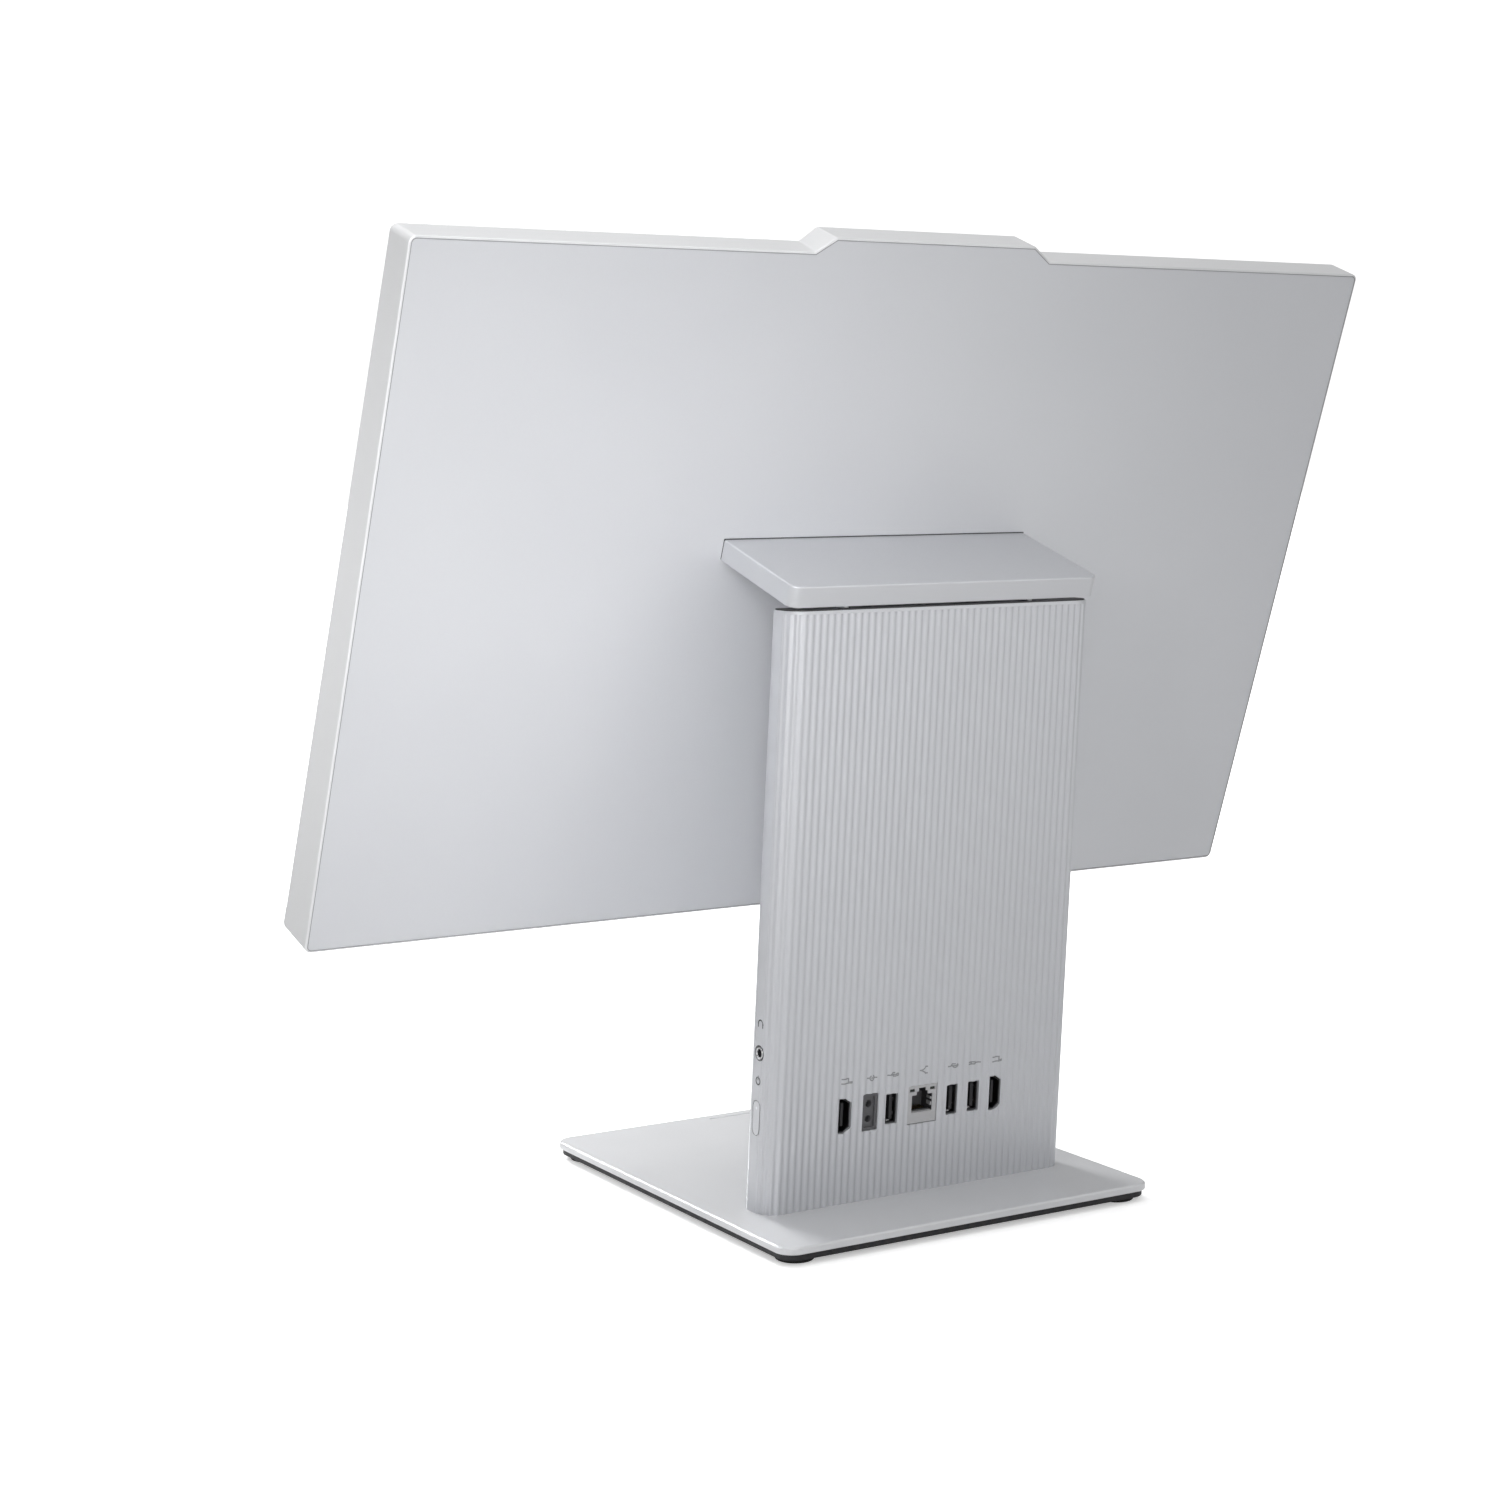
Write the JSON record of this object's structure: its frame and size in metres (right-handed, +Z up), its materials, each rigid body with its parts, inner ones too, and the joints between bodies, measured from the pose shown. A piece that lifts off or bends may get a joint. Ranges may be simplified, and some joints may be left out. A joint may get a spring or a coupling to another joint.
{
  "type": "all-in-one computer",
  "caption": "All-in-one computer: thin tilting display on a fluted leaning column that holds the ports and working parts, on a flat base plate.",
  "frame": {"origin": "centre of the base's footprint, on the surface that the feet stand on", "axes": "+Z up, the screen faces -Y and the rear ports face +Y, +X is the user's right"},
  "size_m": [0.5448, 0.2224, 0.4664],
  "materials": {
    "base_aluminium": "bead-blasted satin",
    "coated_steel": "black powder coat",
    "black_plastic": "fine matt",
    "foot_rubber": "matt",
    "zinc_steel": "zinc plated",
    "column_skin": "silver satin paint",
    "dark_plastic": "matt",
    "sheet_steel": "galvanised",
    "circuit_board": "solder mask",
    "brass_parts": "turned",
    "chip": "matt",
    "copper_parts": "bare copper",
    "fin_aluminium": "mill",
    "port_steel": "nickel plated",
    "gold_contacts": "gold plated",
    "grey_plastic": "matt",
    "button_plastic": "silver satin paint",
    "light_lens": "clear",
    "frame_plastic": "silver satin paint",
    "cover_plastic": "silver satin paint",
    "screen_glass": "polished",
    "lcd_layers": "smooth",
    "lens_glass": "polished"
  },
  "bodies": {
    "root": {"base_plate": "base_aluminium", "base_tray": "coated_steel", "base_feet": "foot_rubber", "base_screws": "zinc_steel", "column_rear_skin": "column_skin", "column_front_cover": "column_skin", "column_cap": "dark_plastic", "column_chassis": "sheet_steel", "column_foot": "sheet_steel", "hinge_brackets": "sheet_steel", "hinge_shafts": "zinc_steel", "friction_washers": "zinc_steel", "main_board": "circuit_board", "board_standoffs": "brass_parts", "board_screws": "zinc_steel", "processor": "chip", "memory_socket": "black_plastic", "memory_module": "circuit_board", "solid_state_drive": "circuit_board", "drive_connector": "black_plastic", "radio_card": "circuit_board", "cold_plate": "copper_parts", "heat_pipe": "copper_parts", "fin_stack": "fin_aluminium", "fan_housing": "black_plastic", "usb_shells": "port_steel", "usb_tongues": "black_plastic", "video_shells": "port_steel", "video_tongues": "black_plastic", "network_shield": "port_steel", "network_jack": "black_plastic", "network_contacts": "gold_contacts", "power_inlet": "grey_plastic", "power_inlet_pins": "black_plastic", "audio_jack": "dark_plastic", "power_switch": "black_plastic"},
    "fan": {"fan_rotor": "black_plastic"},
    "power_button": {"power_button": "button_plastic", "status_light": "light_lens"},
    "display": {"side_frame": "frame_plastic", "rear_cover": "cover_plastic", "screen_glass": "screen_glass", "lcd_cell": "lcd_layers", "backlight": "lcd_layers", "screen_carrier": "sheet_steel", "chin_strip": "frame_plastic", "camera_strip": "black_plastic", "camera_lens": "lens_glass", "camera_board": "circuit_board", "microphones": "port_steel", "display_board": "circuit_board", "display_ribbon": "black_plastic", "speaker_left": "black_plastic", "speaker_right": "black_plastic", "hinge_plate": "sheet_steel", "hinge_plate_screws": "zinc_steel", "hinge_arms": "sheet_steel", "hinge_hood": "cover_plastic", "hinge_hood_lid": "frame_plastic"},
    "shutter": {"camera_shutter": "dark_plastic"}
  },
  "joints": [
    {"name": "display_tilt", "type": "hinge", "parent": "root", "child": "display", "pos_m": [0, 0.07825, 0.29935], "axis": [1, 0, 0], "range_deg": [0, 25]},
    {"name": "fan_spin", "type": "hinge", "parent": "root", "child": "fan", "pos_m": [-0.04, 0.07277, 0.21679], "axis": [0, 0.9962, -0.0872], "continuous": true},
    {"name": "power_button_press", "type": "slide", "parent": "root", "child": "power_button", "axis": [-1, 0, 0], "range_m": [0, 0.0006], "stiffness_N_per_m": 600, "springref_m": -0.0004},
    {"name": "camera_shutter_slide", "type": "slide", "parent": "display", "child": "shutter", "axis": [1, 0, 0], "range_m": [0, 0.006]}
  ]
}
